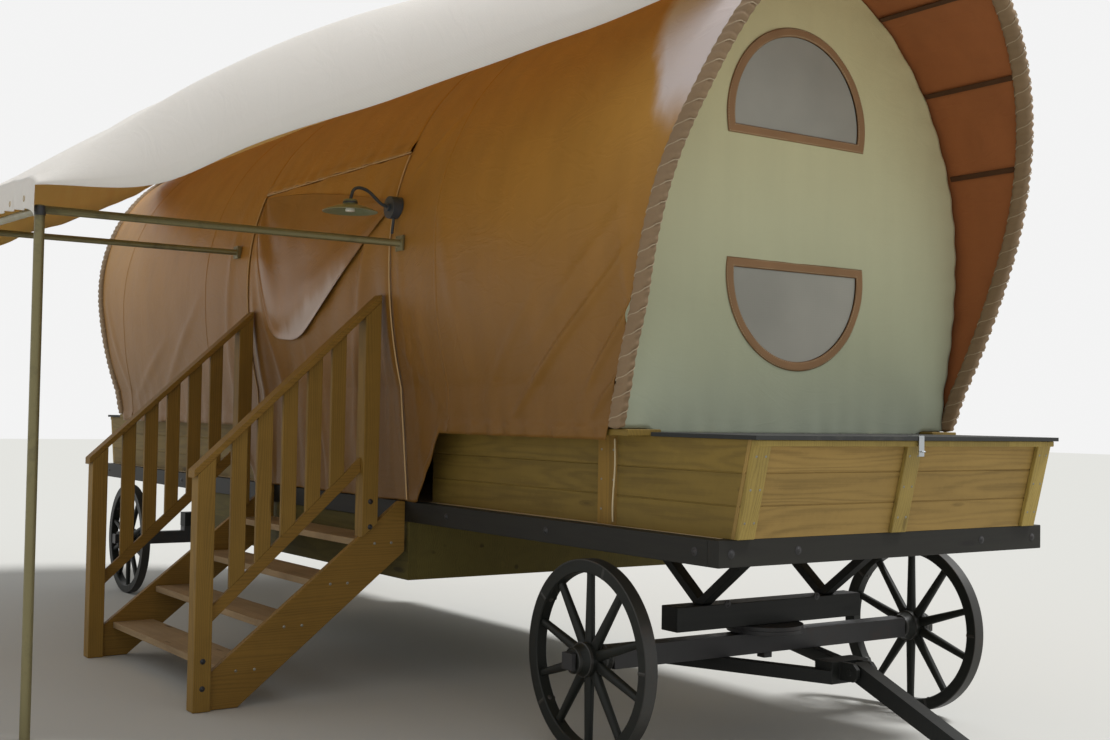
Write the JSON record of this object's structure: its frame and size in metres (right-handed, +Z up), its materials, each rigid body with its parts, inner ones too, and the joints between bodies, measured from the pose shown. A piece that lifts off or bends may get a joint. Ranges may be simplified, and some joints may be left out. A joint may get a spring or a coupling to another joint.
{
  "type": "covered camping wagon",
  "caption": "Covered camping wagon with a canvas cover on hoops, plank lockers at both ends, spoked wheels, a steering drawbar, side stairs and a fly sheet.",
  "frame": {"origin": "on the ground under the centre of the whole object's box, stairs, fly sheet and drawbar included; the front sill's face on the centre line is at x 3.8614, y 0.9720", "axes": "+X forward along the wagon towards the drawbar, +Y to its left, away from the stairs, +Z up"},
  "size_m": [9.2489, 4.406, 3.826],
  "materials": {
    "sill_timber": "dark stained timber",
    "deck_pine": "planed pine boards",
    "box_pine": "oiled pine planks",
    "batten_pine": "planed pine battens",
    "lid_felt": "dark felted plywood",
    "zinc_steel": "zinc plated steel",
    "cover_canvas": "coated canvas",
    "hem_canvas": "laced canvas sleeve",
    "wall_canvas": "cream canvas",
    "window_film": "frosted window film",
    "hoop_steel": "bent steel hoop",
    "fly_canvas": "sun bleached canvas",
    "tube_steel": "dull galvanised tube",
    "tread_pine": "sawn pine treads",
    "stair_pine": "pressure treated pine",
    "rail_pine": "stained pine rail",
    "dark_timber": "tarred timber",
    "dark_iron": "painted iron",
    "wheel_timber": "dark painted spoked wheel with iron tyre",
    "casing_pine": "weathered pine casing",
    "lamp_iron": "dark painted iron",
    "lamp_enamel": "green enamel"
  },
  "bodies": {
    "wagon": {"long_sills": "sill_timber", "end_sills": "sill_timber", "cross_bearers": "sill_timber", "deck_boards": "deck_pine", "box_end_boards": "box_pine", "box_end_battens": "batten_pine", "locker_sides": "box_pine", "side_posts": "batten_pine", "side_boards": "box_pine", "bulkheads": "box_pine", "rim_rails": "batten_pine", "cover_canvas": "cover_canvas", "cover_hems": "hem_canvas", "end_walls": "wall_canvas", "window_panes": "window_film", "hoops": "hoop_steel", "bonnet_purlins": "hoop_steel", "door_flap": "cover_canvas", "door_swag": "cover_canvas", "fly_sheet": "fly_canvas", "fly_rails": "tube_steel", "fly_posts": "tube_steel", "stair_treads": "tread_pine", "stair_stringers": "stair_pine", "stair_newels": "stair_pine", "handrails": "rail_pine", "low_rails": "rail_pine", "balusters": "stair_pine", "bolsters": "dark_timber", "body_struts": "dark_timber", "king_pin_plate": "dark_iron", "rear_axle": "dark_timber", "underfloor_casing": "casing_pine", "lamp_base": "lamp_iron", "lamp_arm": "lamp_iron", "lamp_shade": "lamp_enamel"},
    "front_lid": {"front_locker_lid": "lid_felt", "front_hasp": "zinc_steel"},
    "rear_lid": {"rear_locker_lid": "lid_felt", "rear_hasp": "zinc_steel"},
    "fore_carriage": {"front_axle": "dark_timber", "turning_plate": "dark_iron", "fore_hounds": "dark_timber"},
    "towing_bar": {"drawbar": "dark_timber"},
    "front_right_wheel": {"wheel_front_right": "wheel_timber"},
    "front_left_wheel": {"wheel_front_left": "wheel_timber"},
    "rear_right_wheel": {"wheel_rear_right": "wheel_timber"},
    "rear_left_wheel": {"wheel_rear_left": "wheel_timber"}
  },
  "joints": [
    {"name": "front_steer", "type": "hinge", "parent": "wagon", "child": "fore_carriage", "pos_m": [3.02437, 0.972, 0.4525], "axis": [0, 0, 1], "range_deg": [-60, 60]},
    {"name": "drawbar_lift", "type": "hinge", "parent": "fore_carriage", "child": "towing_bar", "pos_m": [3.66137, 0.972, 0.4], "axis": [0, -1, 0], "range_deg": [0, 45]},
    {"name": "front_lid_open", "type": "hinge", "parent": "wagon", "child": "front_lid", "pos_m": [3.23487, 0.972, 1.479], "axis": [0, -1, 0], "range_deg": [0, 80]},
    {"name": "rear_lid_open", "type": "hinge", "parent": "wagon", "child": "rear_lid", "pos_m": [-3.81213, 0.972, 1.479], "axis": [0, 1, 0], "range_deg": [0, 80]},
    {"name": "front_right_wheel_turn", "type": "hinge", "parent": "fore_carriage", "child": "front_right_wheel", "pos_m": [3.02437, -0.105, 0.4525], "axis": [0, 1, 0], "continuous": true},
    {"name": "front_left_wheel_turn", "type": "hinge", "parent": "fore_carriage", "child": "front_left_wheel", "pos_m": [3.02437, 2.049, 0.4525], "axis": [0, 1, 0], "continuous": true},
    {"name": "rear_right_wheel_turn", "type": "hinge", "parent": "wagon", "child": "rear_right_wheel", "pos_m": [-3.60163, -0.105, 0.4525], "axis": [0, 1, 0], "continuous": true},
    {"name": "rear_left_wheel_turn", "type": "hinge", "parent": "wagon", "child": "rear_left_wheel", "pos_m": [-3.60163, 2.049, 0.4525], "axis": [0, 1, 0], "continuous": true}
  ]
}
